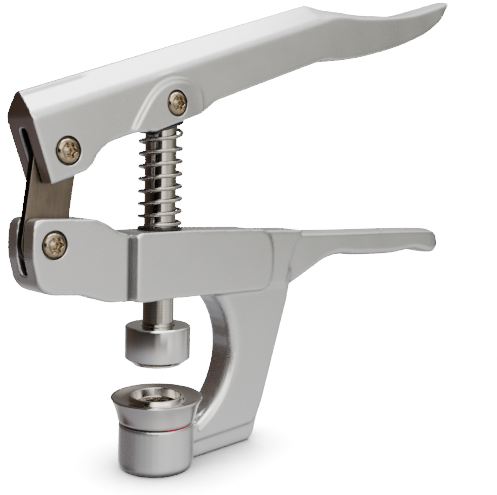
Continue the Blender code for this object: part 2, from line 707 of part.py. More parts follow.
def cheek_shape(parent):
    """The thicker cheeks round the plunger's pin."""
    corners = [
        (-23.5, CHEEK_V + 3.4, 0.0),
        (-18.0, CHEEK_V + 2.6, 0.0),
        (-13.0, CHEEK_V - 0.05, 0.0),
        (11.5, CHEEK_V - 0.05, 0.0),
        (13.0, 2.0, 5.0),
        (3.0, 10.4, 5.0),
        (-6.5, 10.4, 6.0),
        (-14.5, 4.0, 8.0),
    ]
    bm = prism_mesh(fillet_outline(corners), CHEEK_HALF, 0.7, 2)
    bm.transform(handle_frame())
    return finish_mesh("cheek_shape", bm, CASTING, parent)


def handle_pocket(parent):
    """Where the plunger's head swings between the cheeks."""
    rear = -PLUNGER_RADIUS - POCKET_REAR_PLAY
    front = PLUNGER_RADIUS + POCKET_FRONT_PLAY
    top = PLUNGER_RADIUS + PLUNGER_HEAD + POCKET_TOP_PLAY
    corners = [
        (rear, CHEEK_V - 6, 0),
        (front, CHEEK_V - 6, 0),
        (front, top, 3.0),
        (rear, top, 3.0),
    ]
    bm = prism_mesh(fillet_outline(corners), PLUNGER_RADIUS + LINK_GAP)
    bm.transform(handle_frame())
    return finish_mesh("plunger_pocket", bm, CASTING, parent)


def handle_slot(parent):
    """The link's slot, open behind and below."""
    front = LINK_PIN_U + LINK_WIDTH / 2 + SLOT_END_PLAY
    top = LINK_PIN_V + LINK_WIDTH / 2 + SLOT_TOP_PLAY
    corners = [
        (HANDLE_REAR - 5, REAR_LUG_V - 5, 0),
        (front, REAR_LUG_V - 5, 0),
        (front, top, 5.0),
        (HANDLE_REAR - 5, top, 0),
    ]
    bm = prism_mesh(fillet_outline(corners), SLOT_HALF)
    bm.transform(handle_frame())
    return finish_mesh("handle_slot", bm, CASTING, parent)


def make_upper_handle(parent):
    bm = loft_mesh(handle_sections())
    bm.transform(handle_frame())
    handle = finish_mesh("upper_handle", bm, CASTING, parent)
    combine(handle, [cheek_shape(parent)], "UNION")
    hole = PIN_RADIUS + GAP
    cutters = [
        handle_pocket(parent),
        handle_slot(parent),
        pin_seats("link_pin_seat", LINK_PIN_X, LINK_PIN_Z, HANDLE_HALF, parent, hole),
        pin_seats("plunger_pin_seat", 0.0, PLUNGER_PIN_Z, CHEEK_HALF, parent, hole),
    ]
    combine(handle, cutters, "DIFFERENCE")


# Plunger


def make_plunger(parent):
    low = UPPER_DIE_TOP_Z - DIE_SOCKET_DEPTH
    high = PLUNGER_PIN_Z + PLUNGER_RADIUS + PLUNGER_HEAD
    profile = [(0, low), (PLUNGER_RADIUS - 0.5, low), (PLUNGER_RADIUS, low + 0.5)]
    profile += [(PLUNGER_RADIUS, high - 3.0), (PLUNGER_RADIUS - 0.9, high - 1.0), (PLUNGER_RADIUS - 3, high)]
    profile += [(0, high)]
    plunger = finish_mesh("plunger_shaft", turned_mesh(profile, MEDIUM_ROUND), POLISHED, parent)
    bush_radius = PIN_RADIUS + PIVOT_PLAY + PIN_BUSH_WALL
    reach = PLUNGER_RADIUS + 3
    cross_hole = rod_profile(bush_radius + GAP, -reach, reach)
    hole = across(turned_mesh(cross_hole, SMALL_ROUND), 0.0, PLUNGER_PIN_Z)
    flat = rod_profile(SET_SCREW_RADIUS + GAP, PLUNGER_RADIUS - SCREW_FLAT, reach)
    notch = across(turned_mesh(flat, SMALL_ROUND), 0.0, low + DIE_SOCKET_DEPTH / 2)
    cutters = [
        finish_mesh("plunger_pin_hole", hole, POLISHED, parent),
        finish_mesh("set_screw_flat", notch, POLISHED, parent),
    ]
    combine(plunger, cutters, "DIFFERENCE")
    half = PLUNGER_RADIUS - 2.0
    bush = tube_profile(PIN_RADIUS + PIVOT_PLAY, bush_radius, -half, half)
    finish_mesh("plunger_pin_bush", across(turned_mesh(bush, SMALL_ROUND), 0.0, PLUNGER_PIN_Z), BRONZE, parent)


def make_upper_die(parent):
    """The setting punch: a drum with a stepped nose, a rolling groove and a pilot."""
    socket = PLUNGER_RADIUS + GAP
    top = UPPER_DIE_TOP_Z
    step = NOSE_Z + NOSE_HEIGHT
    profile = [
        (0, NOSE_Z + 0.4),
        (PILOT_RADIUS - 0.6, NOSE_Z + 0.4),
        (PILOT_RADIUS, NOSE_Z + 1.2),
        (PILOT_RADIUS + 0.6, NOSE_Z + 2.4),
        (NOSE_RADIUS - 2.4, NOSE_Z + 2.4),
        (NOSE_RADIUS - 1.4, NOSE_Z),
        (NOSE_RADIUS, NOSE_Z),
        (NOSE_RADIUS, step),
        (UPPER_DIE_RADIUS - 1.9, step),
        (UPPER_DIE_RADIUS, step + NOSE_CHAMFER),
        (UPPER_DIE_RADIUS, top - 0.5),
        (UPPER_DIE_RADIUS - 0.5, top),
        (socket + 0.4, top),
        (socket, top - 0.4),
        (socket, top - DIE_SOCKET_DEPTH - GAP),
        (0, top - DIE_SOCKET_DEPTH - GAP),
    ]
    die = finish_mesh("upper_die", turned_mesh(profile, LARGE_ROUND), STEEL, parent)
    height = top - DIE_SOCKET_DEPTH / 2
    hole = rod_profile(SET_SCREW_RADIUS + GAP, PLUNGER_RADIUS - 1, UPPER_DIE_RADIUS + 3)
    cutter = finish_mesh("set_screw_hole", across(turned_mesh(hole, SMALL_ROUND), 0.0, height), STEEL, parent)
    combine(die, [cutter], "DIFFERENCE")
    point = PLUNGER_RADIUS - SCREW_FLAT + GAP
    end = UPPER_DIE_RADIUS - 0.8
    screw = [
        (0, point),
        (SET_SCREW_RADIUS - 0.4, point),
        (SET_SCREW_RADIUS, point + 0.5),
        (SET_SCREW_RADIUS, end),
        (SET_SCREW_RADIUS / 2, end),
        (SET_SCREW_RADIUS / 2, end - 1.6),
        (0, end - 1.6),
    ]
    finish_mesh("upper_die_set_screw", across(turned_mesh(screw, SMALL_ROUND), 0.0, height), DARK, parent)


def make_return_spring(parent):
    """A compression spring whose last turn tilts to lie under the cap."""
    low = SEAT_WASHER_Z + SEAT_WASHER_THICKNESS + GAP + SPRING_WIRE
    slope = math.tan(HANDLE_TILT)
    high = CAP_Z - (CAP_THICKNESS / 2 + GAP + SPRING_WIRE) / math.cos(HANDLE_TILT)
    closed = 2.1 * SPRING_WIRE
    rise = (high - low - closed * SPRING_FLAT_START) / (SPRING_TURNS - SPRING_FLAT_START)
    steps = 12
    points = []
    for k in range(round(SPRING_TURNS * steps) + 1):
        turns = k / steps
        angle = 2 * math.pi * turns + math.radians(200)
        height = closed * min(turns, SPRING_FLAT_START) + rise * max(0.0, turns - SPRING_FLAT_START)
        x = SPRING_RADIUS * math.cos(angle)
        lean = (turns - SPRING_TURNS + SPRING_TILT_TURNS + 0.1) / SPRING_TILT_TURNS
        tilt = max(0.0, min(1.0, lean))
        lift = slope * x * tilt * tilt * (3 - 2 * tilt)
        points.append((x, SPRING_RADIUS * math.sin(angle), low + height + lift))
    curve = bpy.data.curves.new("return_spring", "CURVE")
    curve.dimensions = "3D"
    curve.bevel_depth = SPRING_WIRE * MM
    curve.bevel_resolution = 1
    curve.use_fill_caps = True
    spline = curve.splines.new("POLY")
    spline.points.add(len(points) - 1)
    for point, place in zip(spline.points, points):
        point.co = (*(Vector(place) * MM - parent.location), 1.0)
    curve.materials.append(material(POLISHED))
    spring = bpy.data.objects.new("return_spring", curve)
    bpy.context.scene.collection.objects.link(spring)
    spring.parent = parent


def make_spring_cap(parent):
    half = CAP_THICKNESS / 2
    ring = tube_profile(PLUNGER_RADIUS + CAP_PLAY, CAP_RADIUS, -half, half)
    bm = turned_mesh(ring, MEDIUM_ROUND)
    bm.transform(Matrix.Translation((0, 0, CAP_Z)) @ Matrix.Rotation(-HANDLE_TILT, 4, "Y"))
    finish_mesh("spring_cap_washer", bm, DARK, parent)


def main():
    clear_scene()
    make_lower_frame()
    make_guide_bush()
    make_lower_die()
    make_seat_washer()
    make_pivot("clevis_pin", CLEVIS_X, CLEVIS_Z, BODY_HALF, None)
    link_axis = axis_empty("link_axis", CLEVIS_X, CLEVIS_Z)
    make_link(link_axis)
    handle_axis = axis_empty("handle_axis", LINK_PIN_X, LINK_PIN_Z)
    make_upper_handle(handle_axis)
    make_pivot("link_pin", LINK_PIN_X, LINK_PIN_Z, HANDLE_HALF, handle_axis)
    make_pivot("plunger_pin", 0.0, PLUNGER_PIN_Z, CHEEK_HALF, handle_axis)
    plunger_axis = axis_empty("plunger_axis", 0.0, PLUNGER_PIN_Z)
    make_plunger(plunger_axis)
    make_upper_die(plunger_axis)
    make_return_spring(plunger_axis)
    make_spring_cap(axis_empty("cap_axis", 0.0, CAP_Z))


main()
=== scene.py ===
"""Looks for the hand grommet press: castings, turned steel, screws, spring, studio light and camera.

Shapes are worked out in millimetres and turned into metres when a mesh is made. X runs from the link
towards the grips, Y is across the press and Z is up.
"""

import json
import math

import bmesh
import bpy
import numpy as np
from mathutils import Matrix, Vector

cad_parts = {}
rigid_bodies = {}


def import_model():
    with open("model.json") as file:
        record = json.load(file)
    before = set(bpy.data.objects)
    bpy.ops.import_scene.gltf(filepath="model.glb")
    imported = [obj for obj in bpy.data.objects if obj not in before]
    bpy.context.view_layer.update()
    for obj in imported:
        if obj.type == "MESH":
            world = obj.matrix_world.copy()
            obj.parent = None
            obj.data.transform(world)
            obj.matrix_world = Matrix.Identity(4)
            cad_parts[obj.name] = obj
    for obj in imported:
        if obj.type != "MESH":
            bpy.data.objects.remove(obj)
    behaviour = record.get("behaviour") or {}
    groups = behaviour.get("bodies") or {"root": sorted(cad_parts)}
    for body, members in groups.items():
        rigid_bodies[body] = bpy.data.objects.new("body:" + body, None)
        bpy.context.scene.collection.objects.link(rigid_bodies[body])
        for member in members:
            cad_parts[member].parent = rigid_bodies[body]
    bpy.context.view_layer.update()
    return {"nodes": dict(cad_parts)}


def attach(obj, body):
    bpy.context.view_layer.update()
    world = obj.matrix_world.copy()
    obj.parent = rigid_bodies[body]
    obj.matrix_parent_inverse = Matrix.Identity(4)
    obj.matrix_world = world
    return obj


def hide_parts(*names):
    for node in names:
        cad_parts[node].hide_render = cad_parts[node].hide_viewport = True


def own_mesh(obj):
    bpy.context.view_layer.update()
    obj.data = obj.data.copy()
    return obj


for old in list(bpy.data.objects):
    bpy.data.objects.remove(old, do_unlink=True)

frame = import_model()
NODES = frame["nodes"]
MM = 0.001

# Sizes shared with the CAD model, in millimetres
POST_HEIGHT = 18.2
POST_RADIUS = 14.8
RIM_Z = 28.2
SEAT_RING_Z = 28.5
SEAT_RING_RADIUS = 10.4
SEAT_RECESS_RADIUS = 9.3
NOSE_Z = 41.1
UPPER_DIE_TOP_Z = 56.5
BOSS_BOTTOM_Z = 67.6
BOSS_TOP_Z = 93.5
PLUNGER_RADIUS = 6.0
BODY_HALF = 8.3
HANDLE_HALF = 8.5
CHEEK_HALF = 9.4
SLOT_HALF = 2.0
CLEVIS = (-51.4, 91.0)
LINK_PIN = (-46.3943, 122.2516)
PLUNGER_PIN = (0.0, 141.0684)
HANDLE_TILT = math.radians(19.157)
CAP_Z = 132.7053
HEAD_PROUD = 0.5
HEAD_RECESS = 1.7
HEAD_RADIUS = 4.35
RECESS_RADIUS = 4.9
SLEEVE_RADIUS = 3.0
EYE_RADIUS = 4.8
LINK_END_RADIUS = 8.5
LINK_HALF = 1.5
SEAT_WASHER = (93.8, 94.6)
CAP_HALF = 0.4
WIRE_RADIUS = 0.75
SPRING_RADIUS = 7.85
SPRING_TURNS = 7.75
SPRING_CLOSED_TURNS = 0.35
GAP = 0.3
THROAT_CENTRE_X = 2.8
THROAT_CENTRE_Z = (POST_HEIGHT + BOSS_BOTTOM_Z) / 2
THROAT_RADIUS = 31.4
ARM_BOTTOM_RIGHT = 49.5
ARM_TOP_RIGHT = 71.8

# Soft shapes that only the looks have, in millimetres
THROAT_FLAT = 3.4
THROAT_ROUND = 4.2
GROOVE_LEFT = -21.7
GROOVE_RIGHT = -17.5
GROOVE_DEPTH = 1.7
CHEEK_CROWN = 9.6
CHEEK_BEND = 0.0285
CHEEK_STRAIGHT = 14.0


# Materials


def shader_of(name, colour, roughness, metallic):
    """A new material and its node tree, with the constant values set on the shader itself."""
    made = bpy.data.materials.new(name)
    made.use_nodes = True
    made.diffuse_color = (*colour, 1.0)
    shader = made.node_tree.nodes["Principled BSDF"]
    shader.inputs["Base Color"].default_value = (*colour, 1.0)
    shader.inputs["Roughness"].default_value = roughness
    shader.inputs["Metallic"].default_value = metallic
    return made, made.node_tree, shader


def place(tree, scale=(1.0, 1.0, 1.0)):
    """The point on the piece, in metres, stretched by scale."""
    coordinate = tree.nodes.new("ShaderNodeTexCoord")
    mapping = tree.nodes.new("ShaderNodeMapping")
    mapping.inputs["Scale"].default_value = scale
    tree.links.new(coordinate.outputs["Object"], mapping.inputs["Vector"])
    return mapping.outputs["Vector"]


def noise(tree, vector, scale, detail=3.0, rough=0.55):
    node = tree.nodes.new("ShaderNodeTexNoise")
    node.inputs["Scale"].default_value = scale
    node.inputs["Detail"].default_value = detail
    node.inputs["Roughness"].default_value = rough
    tree.links.new(vector, node.inputs["Vector"])
    return node.outputs["Fac"]


def spread(tree, value, low, high, start=0.3, end=0.7):
    """A value moved from start..end to low..high."""
    node = tree.nodes.new("ShaderNodeMapRange")
    for name, number in (("From Min", start), ("From Max", end), ("To Min", low), ("To Max", high)):
        node.inputs[name].default_value = number
    tree.links.new(value, node.inputs["Value"])
    return node.outputs["Result"]


def maths(tree, operation, first, second):
    node = tree.nodes.new("ShaderNodeMath")
    node.operation = operation
    for socket, value in zip(node.inputs, (first, second)):
        if isinstance(value, (int, float)):
            socket.default_value = value
        else:
            tree.links.new(value, socket)
    return node.outputs["Value"]


def tint(tree, factor, first, second):
    """A mix of two colours, each of them a socket or a plain colour."""
    node = tree.nodes.new("ShaderNodeMix")
    node.data_type = "RGBA"
    for name, colour in (("A", first), ("B", second)):
        if isinstance(colour, tuple):
            node.inputs[name].default_value = (*colour, 1.0)
        else:
            tree.links.new(colour, node.inputs[name])
    if isinstance(factor, float):
        node.inputs["Factor"].default_value = factor
    else:
        tree.links.new(factor, node.inputs["Factor"])
    return node.outputs["Result"]


def product(tree, *values):
    result = values[0]
    for value in values[1:]:
        result = maths(tree, "MULTIPLY", result, value)
    return result


def window(tree, value, rise, fall):
    """1 between rise and fall, 0 outside them: each is the (start, end) of a soft edge."""
    return product(tree, spread(tree, value, 0.0, 1.0, *rise), spread(tree, value, 1.0, 0.0, *fall))


def parts_of(tree, vector):
    split = tree.nodes.new("ShaderNodeSeparateXYZ")
    tree.links.new(vector, split.inputs["Vector"])
    return split.outputs["X"], split.outputs["Y"], split.outputs["Z"]


def size_of(tree, value):
    return maths(tree, "ABSOLUTE", value, 0.0)


def facing(tree):
    """The parts of the surface's direction on the piece."""
    return parts_of(tree, tree.nodes.new("ShaderNodeTexCoord").outputs["Normal"])


def shelter(tree, distance, samples):
    """1 where the surface is open, towards 0 where other surfaces are close."""
    node = tree.nodes.new("ShaderNodeAmbientOcclusion")
    node.samples = samples
    node.inputs["Distance"].default_value = distance
    return node.outputs["AO"]


def bumped(tree, shader, heights):
    """Bumps in a row: each height is (value, strength, distance in metres)."""
    last = None
    for value, strength, distance in heights:
        node = tree.nodes.new("ShaderNodeBump")
        node.inputs["Strength"].default_value = strength
        node.inputs["Distance"].default_value = distance
        tree.links.new(value, node.inputs["Height"])
        if last:
            tree.links.new(last, node.inputs["Normal"])
        last = node.outputs["Normal"]
    tree.links.new(last, shader.inputs["Normal"])


def edge_wear(tree, low=0.52, high=0.62):
    """1 along outward edges, 0 on flats."""
    geometry = tree.nodes.new("ShaderNodeNewGeometry")
    return spread(tree, geometry.outputs["Pointiness"], 0.0, 1.0, low, high)


def cast_painted_shade(tree, here, base):
    """Painted shade on the castings: a dark streak down the body's groove, a dark brown rear end face on the
    handle and dark walls in the handle's slot.
    """
    x, y, z = parts_of(tree, here)
    side = size_of(tree, y)
    turned_x, turned_y, _ = facing(tree)
    off = size_of(tree, maths(tree, "ADD", x, -(GROOVE_LEFT + GROOVE_RIGHT) / 2 * MM))
    outer = spread(tree, side, 0.0, 1.0, 0.004, 0.006)
    body = window(tree, z, (0.0665, 0.0700), (0.0915, 0.0940))
    # painted shade: a dark streak down the groove on each side of the body
    groove = product(tree, spread(tree, off, 0.84, 0.0, 0.0, 0.0024), body, outer)
    base = tint(tree, groove, base, (0.05, 0.048, 0.046))
    upper = spread(tree, z, 0.0, 1.0, 0.098, 0.100)
    # painted shade: the handle's rear end face, turned back along -X, goes dark brown
    end_face = spread(tree, turned_x, 0.78, 0.0, -0.85, -0.68)
    rear = product(tree, upper, end_face, spread(tree, x, 1.0, 0.0, -0.052, -0.046))
    base = tint(tree, rear, base, (0.23, 0.155, 0.12))
    # painted shade: the walls inside the handle's slot go blue-black
    wall = spread(tree, size_of(tree, turned_y), 0.0, 0.88, 0.5, 0.75)
    inner = spread(tree, side, 1.0, 0.0, 0.0027, 0.0033)
    slot = product(tree, upper, wall, inner, spread(tree, x, 1.0, 0.0, -0.038, -0.034))
    return tint(tree, slot, base, (0.06, 0.06, 0.075))


def cast_silver():
    """Silver coat on a casting: slow clouds, fine flecks, worn edges, and painted shade that darkens corners
    and hollows.
    """
    made, tree, shader = shader_of("cast_silver", (0.60, 0.60, 0.59), 0.36, 0.93)
    here = place(tree)
    cloudy = noise(tree, here, 38.0, 3.0)
    grain = noise(tree, here, 2600.0, 2.0, 0.6)
    ripple = noise(tree, here, 170.0, 2.0)
    colour = tint(tree, spread(tree, cloudy, 0.0, 1.0), (0.565, 0.565, 0.56), (0.62, 0.62, 0.615))
    fleck = tint(tree, spread(tree, grain, 0.0, 1.0, 0.35, 0.65), (0.54, 0.54, 0.535), (0.66, 0.66, 0.655))
    wear = maths(tree, "MULTIPLY", edge_wear(tree), 0.5)
    worn = tint(tree, wear, tint(tree, 0.4, colour, fleck), (0.72, 0.72, 0.71))
    # painted shade: near black where other surfaces are close
    unshaded = spread(tree, shelter(tree, 0.006, 8), 0.0, 1.0, 0.15, 0.8)
    base = cast_painted_shade(tree, here, tint(tree, unshaded, (0.035, 0.030, 0.028), worn))
    tree.links.new(base, shader.inputs["Base Color"])
    rough = maths(tree, "ADD", spread(tree, cloudy, 0.27, 0.33), spread(tree, grain, -0.03, 0.03))
    tree.links.new(rough, shader.inputs["Roughness"])
    bumped(tree, shader, [(ripple, 0.12, 0.00002), (grain, 0.10, 0.00001)])
    return made


def seat_painted_shade(tree, here, radius, base):
    """Painted shade on the grommet seat: the upward land goes darker towards one side, and the recess goes
    dark yellow-brown.
    """
    x, y, _ = parts_of(tree, here)
    upward = spread(tree, facing(tree)[2], 0.0, 1.0, 0.5, 0.8)
    # painted shade: the land is darker at one side and lighter at the other, along X minus Y
    shade_across = spread(tree, maths(tree, "SUBTRACT", x, y), 0.85, 0.15, -0.014, 0.012)
    land = product(tree, spread(tree, radius, 0.0, 1.0, 0.0105, 0.0108), upward, shade_across)
    base = tint(tree, land, base, (0.20, 0.155, 0.125))
    # painted shade: the recess walls and floor go dark yellow-brown
    recess = spread(tree, radius, 0.75, 0.0, 0.0090, 0.0094)
    return tint(tree, recess, base, (0.26, 0.22, 0.145))


def turned_steel(name, colour, roughness, pitch, anisotropic, with_seat_shade=False):
    """Lathe-turned steel: fine rings along Z and outwards, slightly uneven."""
    made, tree, shader = shader_of(name, colour, roughness, 1.0)
    shader.inputs["Anisotropic"].default_value = anisotropic
    tangent = tree.nodes.new("ShaderNodeTangent")
    tangent.direction_type = "RADIAL"
    tangent.axis = "Z"
    tree.links.new(tangent.outputs["Tangent"], shader.inputs["Tangent"])
    here = place(tree)
    x, y, z = parts_of(tree, here)
    square = maths(tree, "ADD", maths(tree, "POWER", x, 2.0), maths(tree, "POWER", y, 2.0))
    radius = maths(tree, "POWER", square, 0.5)
    rings = tree.nodes.new("ShaderNodeTexNoise")
    rings.noise_dimensions = "1D"
    rings.inputs["Scale"].default_value = 1.0 / pitch
    rings.inputs["Detail"].default_value = 4.0
    tree.links.new(maths(tree, "ADD", radius, maths(tree, "MULTIPLY", z, 1.37)), rings.inputs["W"])
    line = rings.outputs["Fac"]
    cloudy = noise(tree, here, 120.0, 3.0)
    dark = tuple(c * 0.86 for c in colour)
    light = tuple(min(1.0, c * 1.12) for c in colour)
    base = tint(tree, spread(tree, line, 0.0, 1.0), dark, light)
    # the seat gets painted shade on its land and in its recess
    if with_seat_shade:
        base = seat_painted_shade(tree, here, radius, base)
    tree.links.new(base, shader.inputs["Base Color"])
    uneven = spread(tree, line, roughness - 0.05, roughness + 0.05)
    tree.links.new(maths(tree, "ADD", uneven, spread(tree, cloudy, -0.03, 0.04)), shader.inputs["Roughness"])
    bumped(tree, shader, [(line, 0.10, 0.00001)])
    return made


def brushed_plate():
    """Brushed brownish steel with lines along Z, slow stains, and painted shade that turns the edge faces
    near black.
    """
    made, tree, shader = shader_of("link_steel", (0.20, 0.175, 0.15), 0.34, 1.0)
    here = place(tree)
    lines = noise(tree, place(tree, (1.0, 1.0, 0.03)), 5200.0, 4.0, 0.7)
    cloudy = noise(tree, here, 90.0, 4.0)
    brushed = tint(tree, spread(tree, lines, 0.0, 1.0), (0.100, 0.078, 0.057), (0.185, 0.150, 0.117))
    stains = tint(tree, spread(tree, cloudy, 0.0, 1.0), (0.096, 0.075, 0.054), (0.172, 0.141, 0.110))
    # painted shade: the plate's edge faces, which sit in the slots, go near black
    rim = spread(tree, size_of(tree, parts_of(tree, here)[1]), 1.0, 0.0, 0.00125, 0.00145)
    edge_shade = tint(tree, cloudy, (0.012, 0.010, 0.009), (0.03, 0.025, 0.02))
    base = tint(tree, rim, tint(tree, 0.45, brushed, stains), edge_shade)
    tree.links.new(base, shader.inputs["Base Color"])
    rough = maths(tree, "ADD", spread(tree, lines, 0.28, 0.42), spread(tree, cloudy, -0.03, 0.05))
    tree.links.new(rough, shader.inputs["Roughness"])
    bumped(tree, shader, [(lines, 0.4, 0.00002)])
    return made


def plain_metal(name, dark, light, rough_low, rough_high, grain_scale, grain_depth):
    """A metal whose colour, gloss and surface vary with a fine grain and a slow cloud."""
    made, tree, shader = shader_of(name, light, (rough_low + rough_high) / 2, 1.0)
    here = place(tree)
    cloudy = noise(tree, here, 420.0, 3.0)
    grain = noise(tree, here, grain_scale, 3.0, 0.6)
    tree.links.new(tint(tree, spread(tree, cloudy, 0.0, 1.0), dark, light), shader.inputs["Base Color"])
    rough = maths(tree, "ADD", spread(tree, cloudy, rough_low, rough_high), spread(tree, grain, -0.03, 0.04))
    tree.links.new(rough, shader.inputs["Roughness"])
    bumped(tree, shader, [(grain, 0.4, grain_depth)])
    return made


def red_rubber():
    """Red rubber, with painted shade that turns it black on one side of the seam."""
    made, tree, shader = shader_of("red_rubber", (0.55, 0.01, 0.04), 0.34, 0.0)
    here = place(tree)
    grain = noise(tree, here, 1500.0, 3.0)
    plain_red = tint(tree, spread(tree, grain, 0.0, 1.0), (0.50, 0.012, 0.05), (0.66, 0.03, 0.085))
    shade_black = tint(tree, spread(tree, grain, 0.0, 1.0), (0.010, 0.004, 0.004), (0.03, 0.008, 0.010))
    # painted shade: black on one side of the ring and red on the other, by direction along X minus Y
    x, y, _ = parts_of(tree, here)
    along = maths(tree, "MULTIPLY", maths(tree, "SUBTRACT", x, y), 0.7)
    base = tint(tree, spread(tree, along, 0.0, 1.0, 0.001, 0.009), shade_black, plain_red)
    tree.links.new(base, shader.inputs["Base Color"])
    tree.links.new(spread(tree, grain, 0.36, 0.5), shader.inputs["Roughness"])
    bumped(tree, shader, [(grain, 0.3, 0.00002)])
    return made


CAST = cast_silver()
STEEL = turned_steel("turned_steel", (0.60, 0.585, 0.57), 0.13, 0.00016, 0.25)
SEAT_STEEL = turned_steel("seat_steel", (0.62, 0.59, 0.56), 0.13, 0.00018, 0.25, True)
POLISHED = turned_steel("polished_steel", (0.46, 0.43, 0.385), 0.09, 0.0004, 0.2)
WIRE = plain_metal("spring_wire", (0.24, 0.22, 0.195), (0.40, 0.37, 0.335), 0.14, 0.24, 2400.0, 0.00001)
PLATE = brushed_plate()
PLATED = plain_metal("plated_screw", (0.20, 0.148, 0.088), (0.385, 0.305, 0.205), 0.08, 0.17, 1800.0, 0.00001)
DARK = plain_metal("dark_steel", (0.035, 0.032, 0.030), (0.07, 0.065, 0.06), 0.30, 0.42, 1800.0, 0.00002)
BRONZE = plain_metal("bronze", (0.36, 0.22, 0.10), (0.50, 0.33, 0.16), 0.32, 0.46, 2600.0, 0.00003)
RUBBER = red_rubber()


# Meshes


def finish(name, bm, look, body, nodes, sharp):
    """A piece from a bmesh in millimetres, riding on its body in place of CAD nodes."""
    bmesh.ops.recalc_face_normals(bm, faces=bm.faces)
    bm.transform(Matrix.Scale(MM, 4))
    mesh = bpy.data.meshes.new(name)
    bm.to_mesh(mesh)
    bm.free()
    return dress(name, mesh, look, body, nodes, sharp)


def dress(name, mesh, look, body, nodes, sharp):
    """A piece from a mesh in metres. Edges turned by more than sharp degrees stay crisp."""
    mesh.shade_smooth()
    mesh.set_sharp_from_angle(angle=math.radians(sharp))
    mesh.materials.clear()
    mesh.materials.append(look)
    piece = bpy.data.objects.new(name, mesh)
    bpy.context.scene.collection.objects.link(piece)
    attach(piece, body)
    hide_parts(*nodes)
    return piece


def turned(profile, steps=128, lobes=6):
    """A bmesh of rings (radius, height, lobe depth) round Z. Radius 0 gives one point on the axis."""
    bm = bmesh.new()
    rings = []
    for entry in profile:
        radius, height = entry[0], entry[1]
        depth = entry[2] if len(entry) > 2 else 0.0
        if radius <= 0:
            rings.append([bm.verts.new((0.0, 0.0, height))])
            continue
        ring = []
        for k in range(steps):
            angle = 2 * math.pi * k / steps
            reach = radius * (1 + depth * math.cos(lobes * angle))
            ring.append(bm.verts.new((reach * math.cos(angle), reach * math.sin(angle), height)))
        rings.append(ring)
    closed = len(rings[0]) > 1
    for i in range(len(rings) if closed else len(rings) - 1):
        ring, other = rings[i], rings[(i + 1) % len(rings)]
        for k in range(steps):
            n = (k + 1) % steps
            corners = [ring[k % len(ring)], ring[n % len(ring)], other[n % len(other)], other[k % len(other)]]
            corners = list(dict.fromkeys(corners))
            if len(corners) > 2:
                bm.faces.new(corners)
    return bm


def rounded(points, radius=0.25, pieces=3, loop=True):
    """A profile with each corner rounded. Points on the axis stay."""
    out = []
    count = len(points)
    for i, here in enumerate(points):
        if (not loop and i in (0, count - 1)) or here[0] <= 0:
            out.append(here)
            continue
        centre = Vector(here[:2])
        before = Vector(points[i - 1][:2]) - centre
        after = Vector(points[(i + 1) % count][:2]) - centre
        size = min(radius, before.length * 0.45, after.length * 0.45)
        first = centre + before.normalized() * size
        last = centre + after.normalized() * size
        for k in range(pieces + 1):
            t = k / pieces
            spot = first * (1 - t) ** 2 + centre * 2 * t * (1 - t) + last * t * t
            out.append((spot.x, spot.y))
    return out


def across(bm, x, z, side=-1):
    """Lays a shape turned round Z across the press, with its height growing towards side."""
    angle = math.radians(90 if side < 0 else -90)
    bm.transform(Matrix.Translation((x, 0, z)) @ Matrix.Rotation(angle, 4, "X"))
    return bm


def join(first, others):
    """Adds other bmeshes to the first one."""
    for other in others:
        mesh = bpy.data.meshes.new("part")
        other.to_mesh(mesh)
        other.free()
        first.from_mesh(mesh)
        bpy.data.meshes.remove(mesh)
    return first


def prism(outline, low, high):
    """An outline in X and Z, extruded along Y."""
    bm = bmesh.new()
    near = [bm.verts.new((p[0], low, p[1])) for p in outline]
    far = [bm.verts.new((p[0], high, p[1])) for p in outline]
    bm.faces.new(near)
    bm.faces.new(list(reversed(far)))
    for i in range(len(outline)):
        j = (i + 1) % len(outline)
        bm.faces.new((near[j], near[i], far[i], far[j]))
    bmesh.ops.recalc_face_normals(bm, faces=bm.faces)
    return bm


def cylinder(radius, low, high, steps=64):
    return turned([(0, low), (radius, low), (radius, high), (0, high)], steps)


def plug(x, z, radius, low, high):
    """Fills a hole across the press from low to high, on both sides."""
    return [across(cylinder(radius, low, high, 48), x, z, side) for side in (-1, 1)]


def pin_cutter(x, z, half):
    """The crisp recesses and hole of one pivot."""
    hole_radius = SLEEVE_RADIUS + GAP
    floor = half - HEAD_RECESS
    out = half + 3.0
    wide = RECESS_RADIUS + 3.3
    lip = half - 0.25
    near = [(0, -out), (wide, -out), (RECESS_RADIUS, -lip), (RECESS_RADIUS, -floor), (hole_radius, -floor)]
    far = [(radius, -height) for radius, height in reversed(near)]
    return across(turned(near + far, 64), x, z)


def shown(name, mesh):
    obj = bpy.data.objects.new(name, mesh)
    bpy.context.scene.collection.objects.link(obj)
    return obj


def as_object(bm, name="tool"):
    mesh = bpy.data.meshes.new(name)
    bm.to_mesh(mesh)
    bm.free()
    return shown(name, mesh)


def result_of(obj):
    """The mesh that an object's modifiers make. The object is then removed."""
    bpy.context.view_layer.update()
    graph = bpy.context.evaluated_depsgraph_get()
    mesh = bpy.data.meshes.new_from_object(obj.evaluated_get(graph))
    bpy.data.objects.remove(obj, do_unlink=True)
    return mesh


def cut_by(obj, tool_bm):
    """An object's mesh in metres, with a tool cut out of it. Both are in millimetres and are removed."""
    tool = as_object(tool_bm)
    cut = obj.modifiers.new("cut", "BOOLEAN")
    cut.operation = "DIFFERENCE"
    cut.object = tool
    mesh = result_of(obj)
    bpy.data.objects.remove(tool, do_unlink=True)
    mesh.transform(Matrix.Scale(MM, 4))
    return mesh


def points_of(mesh):
    points = np.empty(len(mesh.vertices) * 3)
    mesh.vertices.foreach_get("co", points)
    return points.reshape(-1, 3)


def step_up(distance, start, width):
    """A soft step from 0 at start to 1 at start + width."""
    share = np.clip((distance - start) / width, 0, 1)
    return share * share * (3 - 2 * share)


